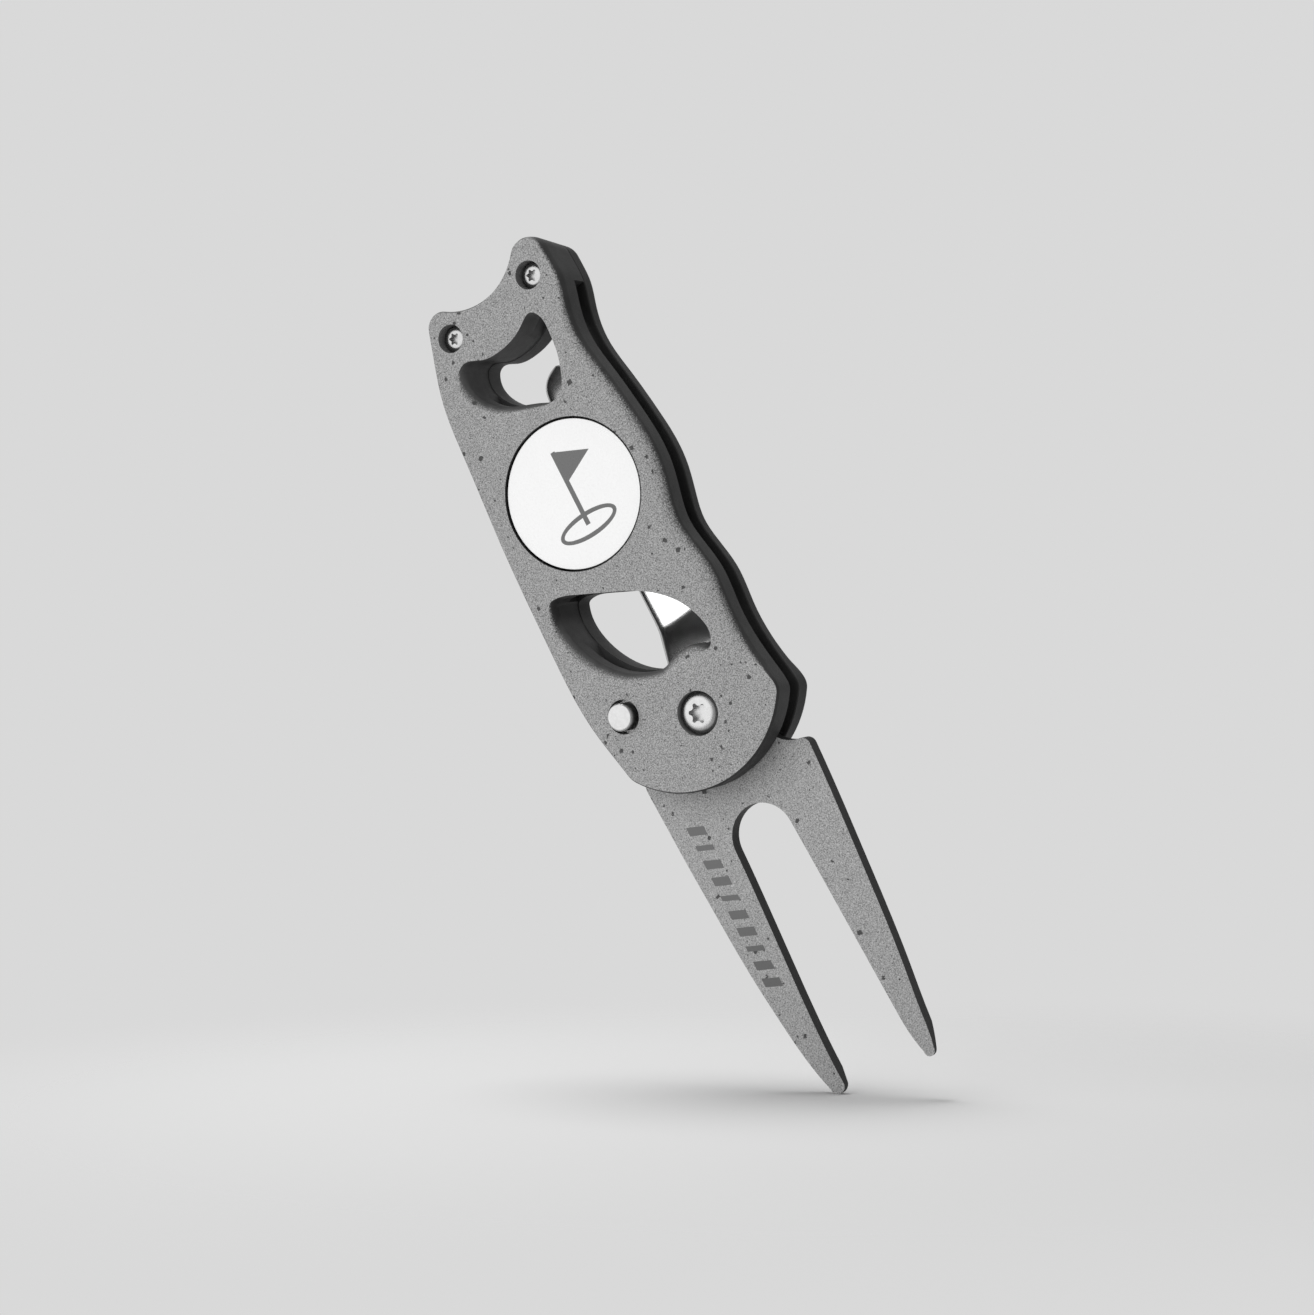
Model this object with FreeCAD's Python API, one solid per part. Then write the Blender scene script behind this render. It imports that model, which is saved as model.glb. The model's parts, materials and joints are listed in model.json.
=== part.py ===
import FreeCAD, Part
import math
import os

# Folding two-prong divot repair tool with a ball marker and a pocket clip.
#
# Drawing frame, in millimetres: X runs along the tool towards the prong tips, Y across it
# towards the wavy grip side where the fork swings out, Z out of the front face.  Its origin
# is the ball marker's centre on the front face.  The last step moves everything so that the
# row frame's origin is the middle of the tool's underside.

V = FreeCAD.Vector

# ---- thickness stack, from the front face down ----
FRONT_WALL = 3.9
SLOT = 2.9
REAR_WALL = 3.05
FORK_THICK = 2.1
WASHER_THICK = 0.4
SEAM_Z = -(FRONT_WALL + SLOT)
REAR_Z = SEAM_Z - REAR_WALL
FORK_TOP_Z = -(FRONT_WALL + WASHER_THICK)
FORK_LOW_Z = FORK_TOP_Z - FORK_THICK

# ---- clearances, and how far cutters run past a face ----
THREAD_CLEARANCE = 0.02
RUNNING_CLEARANCE = 0.05
POCKET_CLEARANCE = 0.1
OVERCUT = 1.0

# ---- handle outline ----
LEFT_EAR = V(-29.15, -6.2, 0)
LEFT_EAR_R = 2.3
RIGHT_EAR = V(-30.7, 10.15, 0)
RIGHT_EAR_R = 2.4
EAR_FLANK_ANGLE = 252.0
HEAD_SCOOP_R = 10.0
BUTT = V(28.3, 1.0, 0)
BUTT_R = 14.9
GRIP_CORNER_R = 2.1
GRIP_CORNER_ANGLE = 55.3
BACK_CORNER_R = 3.0
BACK_CORNER_ANGLE = -52.6
BACK_CORNER_END = -78.0
GRIP_SIDE = [(-25.8, 12.7, 0.35), (-21.8, 11.7, 0.55), (-18.0, 11.2, 0.65), (-12.0, 12.0, 0.8),
             (-5.0, 13.05, 0.95), (-0.8, 13.42, 1.0), (3.0, 13.2, 1.05), (7.0, 12.3, 1.1),
             (10.3, 11.73, 1.1), (14.0, 12.17, 1.1), (18.4, 12.85, 1.1), (24.0, 12.5, 1.0),
             (28.5, 12.65, 0.75), (31.0, 12.98, 0.45), (33.2, 13.36, 0.15)]
BACK_SIDE = [(28.5, -13.03), (16.0, -13.5), (0.0, -13.0), (-12.0, -12.15), (-20.5, -11.3)]

# ---- draft: how far the walls have drawn in by the rear face ----
EAR_DRAFT = 1.1
GRIP_DRAFT = 0.2
BUTT_DRAFT = 0.2

# ---- edge shapes ----
GRIP_BEVEL = 1.9
GRIP_BEVEL_DEPTH = 1.3
EDGE_BREAK = 0.2
EDGE_BREAK_SHARE = 0.25
EAR_BEVEL_SHARE = 0.3
SEAM_CHAMFER = 0.12
ROUNDING_STEPS = [1.0, 0.75, 0.48, 0.25, 0.09, 0.0]
ROUNDING_POWER = 1.45

# ---- cut-outs: X, Y and share of the thumb relief at each point, round the loop ----
UPPER_HOLE = [(-22.4, -6.45, 0.5), (-20.4, -6.9, 1.1), (-18.0, -6.1, 1.25), (-15.9, -4.2, 1.2),
              (-14.4, -1.6, 0.95), (-13.1, 1.4, 0.6), (-12.15, 3.9, 0.1), (-12.6, 5.3, 0.0),
              (-14.4, 6.45, 0.0), (-17.2, 7.35, 0.0), (-20.5, 7.7, 0.0), (-22.9, 7.4, 0.0),
              (-23.9, 6.4, 0.0), (-23.2, 4.6, 0.0), (-22.1, 1.9, 0.0), (-21.85, -0.6, 0.0),
              (-22.35, -3.2, 0.0), (-23.15, -5.3, 0.1)]
LOWER_HOLE = [(11.5, -10.0, 0.6), (13.6, -10.5, 1.0), (16.9, -10.1, 1.2), (20.0, -8.8, 1.3),
              (22.5, -7.0, 1.25), (24.4, -4.7, 1.15), (25.7, -1.7, 1.15), (26.05, 0.0, 1.3),
              (25.55, 1.5, 1.8), (25.25, 3.6, 2.2), (25.6, 5.8, 1.8), (26.4, 7.5, 0.7),
              (25.3, 8.4, 0.2), (23.0, 8.3, 0.0), (20.4, 7.1, 0.0), (17.8, 4.9, 0.0),
              (15.6, 1.9, 0.0), (13.6, -2.2, 0.0), (11.6, -6.5, 0.0), (11.0, -8.9, 0.2)]
HOLE_RELIEF = 1.1
HOLE_RELIEF_DEPTH = 1.4
REAR_HOLE_LEDGE = 0.12

# ---- fork slot: the gap between the covers that the prongs fold into ----
SLOT_REGION = [(-25.4, 17.0), (-25.4, 6.4), (-21.2, 1.8), (-21.2, -3.0), (-20.8, -6.4),
               (-2.0, -8.6), (10.0, -9.6), (26.0, -10.4), (31.5, -10.6), (32.5, -17.0),
               (60.0, -17.0), (60.0, 17.0)]

# ---- pivot ----
PIVOT = V(33.7, 1.85, 0)
BARREL_R = 2.0
BARREL_BORE_R = 1.25
PIVOT_HEAD_R = 2.78
PIVOT_HEAD_HEIGHT = 1.5
PIVOT_SHANK = 3.0
PIVOT_RECESS_R = 2.95
PIVOT_RECESS_DEPTH = 1.7
REAR_PIVOT_RECESS_DEPTH = 1.5
PIVOT_TORX_R = 1.4
WASHER_R = 6.6
WASHER_BORE_R = 2.1

# ---- opening spring round the pivot ----
SPRING_R = 3.9
SPRING_WIRE_R = 0.22
SPRING_PITCH = 0.48
SPRING_TURNS = 2
SPRING_POCKET_R = 5.1
SPRING_POCKET_DEPTH = 1.5
SPRING_LEG = 4.8
SPRING_LEG_HOLE_R = 0.35
SPRING_LEG_HOLE_DEPTH = 0.9
SPRING_LEG_DEPTH = 0.7
SPRING_GAP = 0.03

# ---- lock button ----
BUTTON = V(29.05, -8.0, 0)
BUTTON_R = 1.85
BUTTON_PROUD = 1.2
BUTTON_RIM_R = 0.3
BUTTON_HOLE_R = 2.3
BUTTON_FLANGE_R = 2.75
BUTTON_FLANGE_TOP = 1.95
BUTTON_FLANGE_THICK = 0.6
LOCK_DRUM_R = 3.15
LOCK_DRUM_HEIGHT = 1.3
LOCK_DRUM_GAP = 0.06
LOCK_POCKET_DEPTH = 2.4
BUTTON_BORE_R = 1.35
BUTTON_BORE_TOP = 3.2
BUTTON_SPRING_R = 1.0
BUTTON_SPRING_WIRE_R = 0.17
BUTTON_SPRING_TURNS = 6
BUTTON_SPRING_END_GAP = 0.02

# ---- fork ----
TANG_R = 8.7
OPEN_NOTCH_R = 3.35
CLOSED_NOTCH_R = 4.25
FORK_BACK_EDGE = [(39.0, -11.98), (49.0, -11.58), (58.0, -11.08), (67.0, -10.42), (74.5, -9.52),
                  (80.0, -8.62), (84.1, -7.5)]
FORK_BACK_TIP = V(85.15, -6.3, 0)
FORK_BACK_GAP_SIDE = [(84.3, -5.45), (80.6, -5.55), (75.0, -5.45), (64.0, -4.9)]
FORK_GRIP_GAP_SIDE = [(60.0, 5.08), (70.0, 5.48), (78.0, 5.8), (82.5, 6.1), (85.2, 6.7)]
FORK_GRIP_TIP = V(86.12, 7.45, 0)
FORK_GRIP_EDGE = [(85.5, 8.15), (84.1, 8.45), (80.5, 8.87), (74.5, 9.65), (67.0, 10.45), (58.0, 11.2),
                  (50.0, 11.8), (43.75, 12.15)]
TIP_TAPER_X = 82.2
TIP_TAPER_END_X = 86.0
TIP_TAPER_RISE = 1.5
TAPER_HALF_WIDTH = 20.0
GAP_ROOT = V(51.4, 0.2, 0)
GAP_ROOT_R = 4.5
SHOULDER_CORNER_R = 1.2
SHOULDER_CORNER = V(43.75, 10.95, 0)

# ---- stop pin ----
STOP_PIN = V(36.0, -9.0, 0)
STOP_PIN_R = 1.1
STOP_PIN_SEAT = 1.0
STOP_PIN_END_GAP = 0.02
STOP_GAP = 0.1

# ---- ball marker and magnet ----
MARKER_R = 10.05
MARKER_THICK = 1.6
MARKER_SINK = 0.28
MARKER_POCKET_R = 10.25
MARKER_POCKET_DEPTH = 1.9
ENAMEL_R = 9.8
ENAMEL_THICK = 0.25
EMBLEM_THICK = 0.12
MARKER_RIM_CHAMFER = 0.12
MAGNET_R = 4.0
MAGNET_THICK = 1.3

# ---- flag emblem on the marker: a stick, a pennant and the ring of the hole ----
STICK_TOP = -6.3
STICK_LENGTH = 10.9
STICK_WIDTH = 0.7
PENNANT_LENGTH = 4.6
PENNANT_REACH = 5.0
HOLE_RING_X = 4.6
HOLE_RING_LONG = 4.7
HOLE_RING_SHORT = 1.75
HOLE_RING_WIDTH = 0.6

# ---- head screws ----
HEAD_SCREWS = [V(-27.25, -5.75, 0), V(-28.3, 8.7, 0)]
SMALL_HEAD_R = 1.8
SMALL_HEAD_HEIGHT = 1.15
SMALL_HEAD_SINK = 1.05
HEAD_SCREW_HOLE_FLOOR = 0.6
HEAD_SCREW_END_FLOOR = 0.8
SMALL_RECESS_R = 1.92
SMALL_SHANK_R = 1.0
SMALL_TORX_R = 0.85
SCREW_CROWN_SHARE = 0.75
TORX_DEPTH_SHARE = 0.65
LOBE_FLANK_SHARE = 0.86
LOBE_ROOT_SHARE = 0.7
LOBE_HALF_ANGLE = 13

# ---- pocket clip, below the rear face ----
CLIP_THICK = 0.85
CLIP_GAP = 2.75
CLIP_KINK_X = 19.0
CLIP_FOOT_X = 25.4
CLIP_TOUCH_X = -7.0
CLIP_TOUCH_GAP = 0.2
CLIP_TIP_X = -19.5
CLIP_TIP_GAP = 1.75
CLIP_FLARE_POWER = 1.7
CLIP_Y = 0.6
CLIP_TIP_R = 3.1
CLIP_STRAP_HALF = 4.45
CLIP_FOOT_CENTRE = V(36.3, 1.3, 0)
CLIP_FOOT_R = 5.4
CLIP_JOINT_GAP = 0.06
CLIP_SCREWS = [V(28.4, -1.9, 0), V(28.4, 4.0, 0), V(39.3, 1.6, 0)]
CLIP_HEAD_R = 1.6
CLIP_HEAD_HEIGHT = 0.9
CLIP_SHANK_LENGTH = 2.2
CLIP_PIVOT_ROOM = 0.3


# ---------------------------------------------------------------- helpers

def rod(centre, radius, top, bottom):
    """A round bar or the cutter for a round hole, between two heights."""
    return Part.makeCylinder(radius, top - bottom, V(centre.x, centre.y, bottom), V(0, 0, 1))


def cut_each(body, cutters):
    """A body with each cutter taken out in turn."""
    for cutter in cutters:
        body = body.cut(cutter)
    return body


def polar(centre, radius, degrees):
    """The point at an angle on a circle."""
    turn = math.radians(degrees)
    return V(centre.x + radius * math.cos(turn), centre.y + radius * math.sin(turn), centre.z)


def arc(centre, radius, start, end):
    """An arc about a centre from one angle to another, in degrees."""
    points = [polar(centre, radius, start + (end - start) * step / 2) for step in range(3)]
    return Part.Arc(*points).toShape()


def spline(points, start_direction=None, end_direction=None):
    """A smooth edge through points, leaving and arriving along given directions."""
    curve = Part.BSplineCurve()
    if start_direction is None:
        curve.interpolate(points)
    else:
        curve.interpolate(Points=points, InitialTangent=start_direction, FinalTangent=end_direction,
                          Scale=False)
    return curve.toShape()


def loop(points, height):
    """A smooth closed wire through points, at one height."""
    curve = Part.BSplineCurve()
    curve.interpolate(Points=[V(point.x, point.y, height) for point in points], PeriodicFlag=True)
    return Part.Wire(curve.toShape())


def at_height(wire, height):
    """A copy of a wire drawn at zero, moved to a height."""
    moved = wire.copy()
    moved.translate(V(0, 0, height))
    return moved


def prism(wire, top, bottom):
    """The solid that a flat wire drawn at height zero sweeps between two heights."""
    return Part.Face(at_height(wire, bottom)).extrude(V(0, 0, top - bottom))


def polygon(points):
    """A closed straight-sided wire through (x, y) points."""
    corners = [V(x, y, 0) for x, y in points]
    return Part.makePolygon(corners + corners[:1])


def grown(points, amount):
    """Loop points moved outwards, each by its own share of an amount."""
    moved = []
    count = len(points)
    for index, (x, y, share) in enumerate(points):
        before = points[index - 1]
        after = points[(index + 1) % count]
        along = V(after[0] - before[0], after[1] - before[1], 0)
        along.normalize()
        moved.append(V(x + amount * share * along.y, y - amount * share * along.x, 0))
    if signed_area(points) < 0:
        raise ValueError("loop points must run anticlockwise")
    return moved


def signed_area(points):
    """Twice the area inside a loop, positive when it runs anticlockwise."""
    total = 0
    for index, (x, y, share) in enumerate(points):
        before = points[index - 1]
        total += before[0] * y - x * before[1]
    return total


def six_lobe(centre, radius, top, depth):
    """The cutter for a six-lobed driver recess: six bulging arcs with six hollow arcs between."""
    middle = V(centre.x, centre.y, top - depth)
    edges = []
    for lobe in range(6):
        facing = 60 * lobe
        start = polar(middle, LOBE_FLANK_SHARE * radius, facing - LOBE_HALF_ANGLE)
        end = polar(middle, LOBE_FLANK_SHARE * radius, facing + LOBE_HALF_ANGLE)
        hollow = polar(middle, LOBE_ROOT_SHARE * radius, facing + 30)
        following = polar(middle, LOBE_FLANK_SHARE * radius, facing + 60 - LOBE_HALF_ANGLE)
        edges.append(Part.Arc(start, polar(middle, radius, facing), end).toShape())
        edges.append(Part.Arc(end, hollow, following).toShape())
    return Part.Face(Part.Wire(edges)).extrude(V(0, 0, depth + OVERCUT))


def coil(centre, radius, wire_radius, pitch, turns, bottom):
    """A helical spring body whose lowest centre line starts at a height."""
    helix = Part.makeHelix(pitch, pitch * turns, radius)
    start = V(radius, 0, 0)
    section = Part.Wire(Part.makeCircle(wire_radius, start, V(0, 1, pitch / (2 * math.pi * radius))))
    solid = Part.Wire(helix).makePipeShell([section], True, True)
    solid.translate(V(centre.x, centre.y, bottom))
    return solid


def dome_screw(centre, head_radius, height, shank_radius, shank_length, torx_radius):
    """A round-headed six-lobe screw whose head rests on height zero and whose shank points down."""
    head = Part.makeCylinder(head_radius, height, V(0, 0, 0))
    crown = [edge for edge in head.Edges if edge.BoundBox.ZMin > 0.9 * height]
    head = head.makeFillet(SCREW_CROWN_SHARE * height, crown)
    shank = Part.makeCylinder(shank_radius, shank_length, V(0, 0, -shank_length))
    socket = six_lobe(V(0, 0, 0), torx_radius, height, TORX_DEPTH_SHARE * height)
    screw = head.fuse(shank).removeSplitter().cut(socket)
    screw.translate(V(centre.x, centre.y, 0))
    return screw


# ---------------------------------------------------------------- handle covers

def scoop_centre(left_ear, right_ear):
    """Centre of the head's hollow arc, which touches both ears from outside."""
    reach_left = HEAD_SCOOP_R + LEFT_EAR_R
    reach_right = HEAD_SCOOP_R + RIGHT_EAR_R
    span = right_ear.sub(left_ear)
    width = span.Length
    along = (reach_left ** 2 - reach_right ** 2 + width ** 2) / (2 * width)
    rise = math.sqrt(reach_left ** 2 - along ** 2)
    span.normalize()
    outward = V(-span.y, span.x, 0)
    return left_ear + span * along + outward * rise


def angle_from(centre, point):
    """The direction of a point seen from a centre, in degrees."""
    return math.degrees(math.atan2(point.y - centre.y, point.x - centre.x))


def handle_wire(height, bevel=0.0, edge=0.0):
    """The handle's outline at a height, drawn in by the grip side's bevel and all round by the edge."""
    draft = height / REAR_Z
    left_ear = LEFT_EAR + V(EAR_DRAFT * draft, 0, 0)
    drafted_ear = RIGHT_EAR + V(EAR_DRAFT * draft, 0, 0)
    scoop = scoop_centre(left_ear, drafted_ear)
    left_touch = angle_from(left_ear, scoop)
    right_touch = angle_from(drafted_ear, scoop)
    right_ear = drafted_ear - V(0, EAR_BEVEL_SHARE * bevel, 0)
    left_radius = LEFT_EAR_R - edge
    right_radius = RIGHT_EAR_R - edge
    scoop_radius = HEAD_SCOOP_R + edge
    butt_radius = BUTT_R - BUTT_DRAFT * draft
    grip_corner = polar(BUTT, butt_radius - GRIP_CORNER_R, GRIP_CORNER_ANGLE)
    back_corner = polar(BUTT, butt_radius - BACK_CORNER_R, BACK_CORNER_ANGLE)
    grip_radius = GRIP_CORNER_R - edge
    back_radius = BACK_CORNER_R - edge
    grip_inset = GRIP_DRAFT * draft + edge

    left_ear_arc = arc(left_ear, left_radius, EAR_FLANK_ANGLE, left_touch % 360)
    scoop_start = polar(left_ear, left_radius, left_touch)
    scoop_end = polar(right_ear, right_radius, right_touch)
    scoop_arc = Part.Arc(scoop_start, polar(scoop, scoop_radius, 0), scoop_end).toShape()
    right_ear_arc = arc(right_ear, right_radius, right_touch % 360, 90)
    grip_points = [polar(right_ear, right_radius, 90)]
    grip_points += [V(x, y - share * bevel - grip_inset, 0) for x, y, share in GRIP_SIDE]
    grip_points.append(polar(grip_corner, grip_radius, 90))
    grip_edge = spline(grip_points, V(1, 0, 0), V(1, 0, 0))
    grip_corner_arc = arc(grip_corner, grip_radius, 90, GRIP_CORNER_ANGLE)
    butt_arc = arc(BUTT, butt_radius - edge, GRIP_CORNER_ANGLE, BACK_CORNER_ANGLE)
    back_corner_arc = arc(back_corner, back_radius, BACK_CORNER_ANGLE, BACK_CORNER_END)
    back_points = [polar(back_corner, back_radius, BACK_CORNER_END)]
    back_points += [V(x, y + edge, 0) for x, y in BACK_SIDE]
    back_points.append(polar(left_ear, left_radius, EAR_FLANK_ANGLE))
    leaving = polar(V(0, 0, 0), 1, BACK_CORNER_END - 90)
    arriving = polar(V(0, 0, 0), 1, EAR_FLANK_ANGLE - 90)
    back_edge = spline(back_points, leaving, arriving)
    outline = Part.Wire([left_ear_arc, scoop_arc, right_ear_arc, grip_edge, grip_corner_arc,
                         butt_arc, back_corner_arc, back_edge])
    return at_height(outline, height)


def rounding(depth):
    """How far a full-bellied bevel has drawn in, as a share, at a share of its depth below the face."""
    return 1 - (1 - (1 - depth) ** ROUNDING_POWER) ** (1 / ROUNDING_POWER)


def bevelled_slab(face_height, inner_height):
    """A cover's outer slab: bevelled at its face and drafted from there to the inner height."""
    inwards = 1 if inner_height > face_height else -1
    sections = []
    for depth in ROUNDING_STEPS:
        edge = EDGE_BREAK * max(0, 1 - depth / EDGE_BREAK_SHARE)
        height = face_height + inwards * depth * GRIP_BEVEL_DEPTH
        sections.append(handle_wire(height, rounding(depth) * GRIP_BEVEL, edge))
    rounded = Part.makeLoft(sections, True, True)
    bevel_height = face_height + inwards * GRIP_BEVEL_DEPTH
    chamfer_height = inner_height - inwards * SEAM_CHAMFER
    seam_wire = handle_wire(inner_height, 0, SEAM_CHAMFER)
    wall_wires = [handle_wire(bevel_height), handle_wire(chamfer_height), seam_wire]
    straight = Part.makeLoft(wall_wires, True, True)
    return straight.fuse(rounded)


def relieved_hole(points, face_height, far_height):
    """A through cut-out whose rim is relieved for the thumb at the face."""
    sections = []
    for depth in ROUNDING_STEPS:
        height = face_height - depth * HOLE_RELIEF_DEPTH
        sections.append(loop(grown(points, rounding(depth) * HOLE_RELIEF), height))
    rim = Part.makeLoft(sections, True, True)
    relief_floor = face_height - HOLE_RELIEF_DEPTH
    through = Part.Face(loop(grown(points, 0), far_height)).extrude(V(0, 0, relief_floor - far_height))
    return through.fuse(rim)


def plain_hole(points, top, bottom):
    """The same cut-out in the rear cover, a little smaller, so that a narrow ledge shows at the seam."""
    even = [(x, y, 1.0) for x, y, share in points]
    return Part.Face(loop(grown(even, -REAR_HOLE_LEDGE), bottom)).extrude(V(0, 0, top - bottom))


def front_cover():
    """Milled front shell: front wall, solid head block and the spine along the back."""
    body = bevelled_slab(0, SEAM_Z)
    cutters = [prism(polygon(SLOT_REGION), -FRONT_WALL, SEAM_Z - OVERCUT)]
    cutters.append(relieved_hole(UPPER_HOLE, 0, SEAM_Z - OVERCUT))
    cutters.append(relieved_hole(LOWER_HOLE, 0, SEAM_Z - OVERCUT))
    cutters.append(rod(V(0, 0, 0), MARKER_POCKET_R, OVERCUT, -MARKER_POCKET_DEPTH))
    magnet_floor = -(MARKER_POCKET_DEPTH + MAGNET_THICK + RUNNING_CLEARANCE)
    cutters.append(rod(V(0, 0, 0), MAGNET_R + RUNNING_CLEARANCE, 0, magnet_floor))
    cutters.append(rod(PIVOT, PIVOT_RECESS_R, OVERCUT, -PIVOT_RECESS_DEPTH))
    cutters.append(rod(PIVOT, BARREL_R + THREAD_CLEARANCE, OVERCUT, -FRONT_WALL - OVERCUT))
    pocket_top = -(FRONT_WALL - SPRING_POCKET_DEPTH)
    cutters.append(rod(PIVOT, SPRING_POCKET_R, pocket_top, -FRONT_WALL - OVERCUT))
    cutters.append(spring_leg_groove(pocket_top))
    cutters.append(rod(BUTTON, BUTTON_HOLE_R, OVERCUT, -FRONT_WALL - OVERCUT))
    flange_top = RUNNING_CLEARANCE - BUTTON_FLANGE_TOP
    cutters.append(rod(BUTTON, BUTTON_FLANGE_R + POCKET_CLEARANCE, flange_top, -FRONT_WALL - OVERCUT))
    cutters.append(rod(BUTTON, LOCK_DRUM_R + POCKET_CLEARANCE, -FRONT_WALL, SEAM_Z - OVERCUT))
    pin_seat = STOP_PIN_SEAT - FRONT_WALL
    cutters.append(rod(STOP_PIN, STOP_PIN_R + THREAD_CLEARANCE, pin_seat, -FRONT_WALL - OVERCUT))
    for screw in HEAD_SCREWS:
        cutters.append(rod(screw, SMALL_RECESS_R, OVERCUT, -(SMALL_HEAD_SINK + SMALL_HEAD_HEIGHT)))
        cutters.append(rod(screw, SMALL_SHANK_R + POCKET_CLEARANCE, OVERCUT, SEAM_Z - OVERCUT))
    return cut_each(body, cutters)


def spring_leg_groove(pocket_top):
    """The groove in the front wall that holds the opening spring's outer leg."""
    length = SPRING_LEG + 4 * POCKET_CLEARANCE
    width = 2 * (SPRING_WIRE_R + POCKET_CLEARANCE)
    bottom = -FRONT_WALL - OVERCUT
    corner = V(PIVOT.x - SPRING_R - width / 2, PIVOT.y - length, bottom)
    return Part.makeBox(width, length, pocket_top - bottom, corner)


def rear_cover():
    """Milled rear plate that closes the slot and carries the clip."""
    body = bevelled_slab(REAR_Z, SEAM_Z)
    cutters = [plain_hole(UPPER_HOLE, SEAM_Z + OVERCUT, REAR_Z - OVERCUT)]
    cutters.append(plain_hole(LOWER_HOLE, SEAM_Z + OVERCUT, REAR_Z - OVERCUT))
    cutters.append(rod(PIVOT, PIVOT_RECESS_R, REAR_Z + REAR_PIVOT_RECESS_DEPTH, REAR_Z - OVERCUT))
    cutters.append(rod(PIVOT, BARREL_R + THREAD_CLEARANCE, SEAM_Z + OVERCUT, REAR_Z - OVERCUT))
    drum_floor = SEAM_Z - LOCK_POCKET_DEPTH
    cutters.append(rod(BUTTON, LOCK_DRUM_R + POCKET_CLEARANCE, SEAM_Z + OVERCUT, drum_floor))
    pin_seat = SEAM_Z - STOP_PIN_SEAT
    cutters.append(rod(STOP_PIN, STOP_PIN_R + THREAD_CLEARANCE, SEAM_Z + OVERCUT, pin_seat))
    for screw in HEAD_SCREWS:
        hole_end = REAR_Z + HEAD_SCREW_HOLE_FLOOR
        cutters.append(rod(screw, SMALL_SHANK_R + THREAD_CLEARANCE, SEAM_Z + OVERCUT, hole_end))
    thread_end = REAR_Z + CLIP_SHANK_LENGTH + POCKET_CLEARANCE
    for screw in CLIP_SCREWS:
        cutters.append(rod(screw, SMALL_SHANK_R + THREAD_CLEARANCE, thread_end, REAR_Z - OVERCUT))
    return cut_each(body, cutters)


# ---------------------------------------------------------------- fork and pivot

def prong_wire():
    """The fork's outline from its back shoulder round both prongs to the grip shoulder."""
    shoulder_x = STOP_PIN.x + STOP_PIN_R + STOP_GAP
    back_points = [V(x, y, 0) for x, y in FORK_BACK_EDGE]
    grip_points = [V(x, y, 0) for x, y in FORK_GRIP_EDGE]
    corner_start = V(shoulder_x, back_points[0].y + SHOULDER_CORNER_R, 0)
    corner = V(shoulder_x + SHOULDER_CORNER_R, corner_start.y, 0)
    corner_end = V(corner.x, back_points[0].y, 0)
    tang_start = V(shoulder_x, PIVOT.y, 0)
    back_gap = [V(x, y, 0) for x, y in FORK_BACK_GAP_SIDE] + [polar(GAP_ROOT, GAP_ROOT_R, 268)]
    grip_gap = [polar(GAP_ROOT, GAP_ROOT_R, 92)] + [V(x, y, 0) for x, y in FORK_GRIP_GAP_SIDE]
    notch = closed_notch_centre()
    round_end = polar(SHOULDER_CORNER, SHOULDER_CORNER_R, 180)
    edges = [Part.makeLine(tang_start, corner_start),
             arc(corner, SHOULDER_CORNER_R, 180, 270),
             Part.makeLine(corner_end, back_points[0]),
             spline(back_points),
             Part.Arc(back_points[-1], FORK_BACK_TIP, back_gap[0]).toShape(),
             spline(back_gap),
             arc(GAP_ROOT, GAP_ROOT_R, 268, 92),
             spline(grip_gap),
             Part.Arc(grip_gap[-1], FORK_GRIP_TIP, grip_points[0]).toShape(),
             spline(grip_points),
             arc(SHOULDER_CORNER, SHOULDER_CORNER_R, 90, 180),
             Part.makeLine(round_end, V(notch.x, round_end.y, 0)),
             Part.makeLine(V(notch.x, round_end.y, 0), V(notch.x, PIVOT.y, 0)),
             Part.makeLine(V(notch.x, PIVOT.y, 0), tang_start)]
    return Part.Wire(edges)


def closed_notch_centre():
    """Where the lock button stands in the fork once the fork has folded half a turn."""
    return V(2 * PIVOT.x - BUTTON.x, 2 * PIVOT.y - BUTTON.y, 0)


def fork():
    """Flat two-prong blade with a round tang, an open notch and a closed notch for the lock."""
    blade = prism(prong_wire(), FORK_TOP_Z, FORK_LOW_Z)
    tang = rod(PIVOT, TANG_R, FORK_TOP_Z, FORK_LOW_Z)
    top = FORK_TOP_Z + OVERCUT
    bottom = FORK_LOW_Z - OVERCUT
    cutters = [rod(PIVOT, BARREL_R + RUNNING_CLEARANCE, top, bottom),
               rod(BUTTON, OPEN_NOTCH_R, top, bottom),
               rod(closed_notch_centre(), CLOSED_NOTCH_R, top, bottom),
               rod(spring_leg_place(), SPRING_LEG_HOLE_R, top, FORK_TOP_Z - SPRING_LEG_HOLE_DEPTH),
               tip_taper()]
    return cut_each(blade.fuse(tang), cutters).removeSplitter()


def spring_leg_place():
    """Where the opening spring's inner leg stands."""
    return polar(PIVOT, SPRING_R, 180)


def tip_taper():
    """The wedge filed off the underside of both prong tips, so that they slip into the turf."""
    slope = TIP_TAPER_RISE / (TIP_TAPER_END_X - TIP_TAPER_X)
    end_x = TIP_TAPER_END_X + OVERCUT
    side = [V(TIP_TAPER_X, -TAPER_HALF_WIDTH, FORK_LOW_Z),
            V(end_x, -TAPER_HALF_WIDTH, FORK_LOW_Z + slope * (end_x - TIP_TAPER_X)),
            V(end_x, -TAPER_HALF_WIDTH, FORK_LOW_Z - OVERCUT),
            V(TIP_TAPER_X, -TAPER_HALF_WIDTH, FORK_LOW_Z - OVERCUT)]
    return Part.Face(Part.makePolygon(side + side[:1])).extrude(V(0, 2 * TAPER_HALF_WIDTH, 0))


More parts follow.
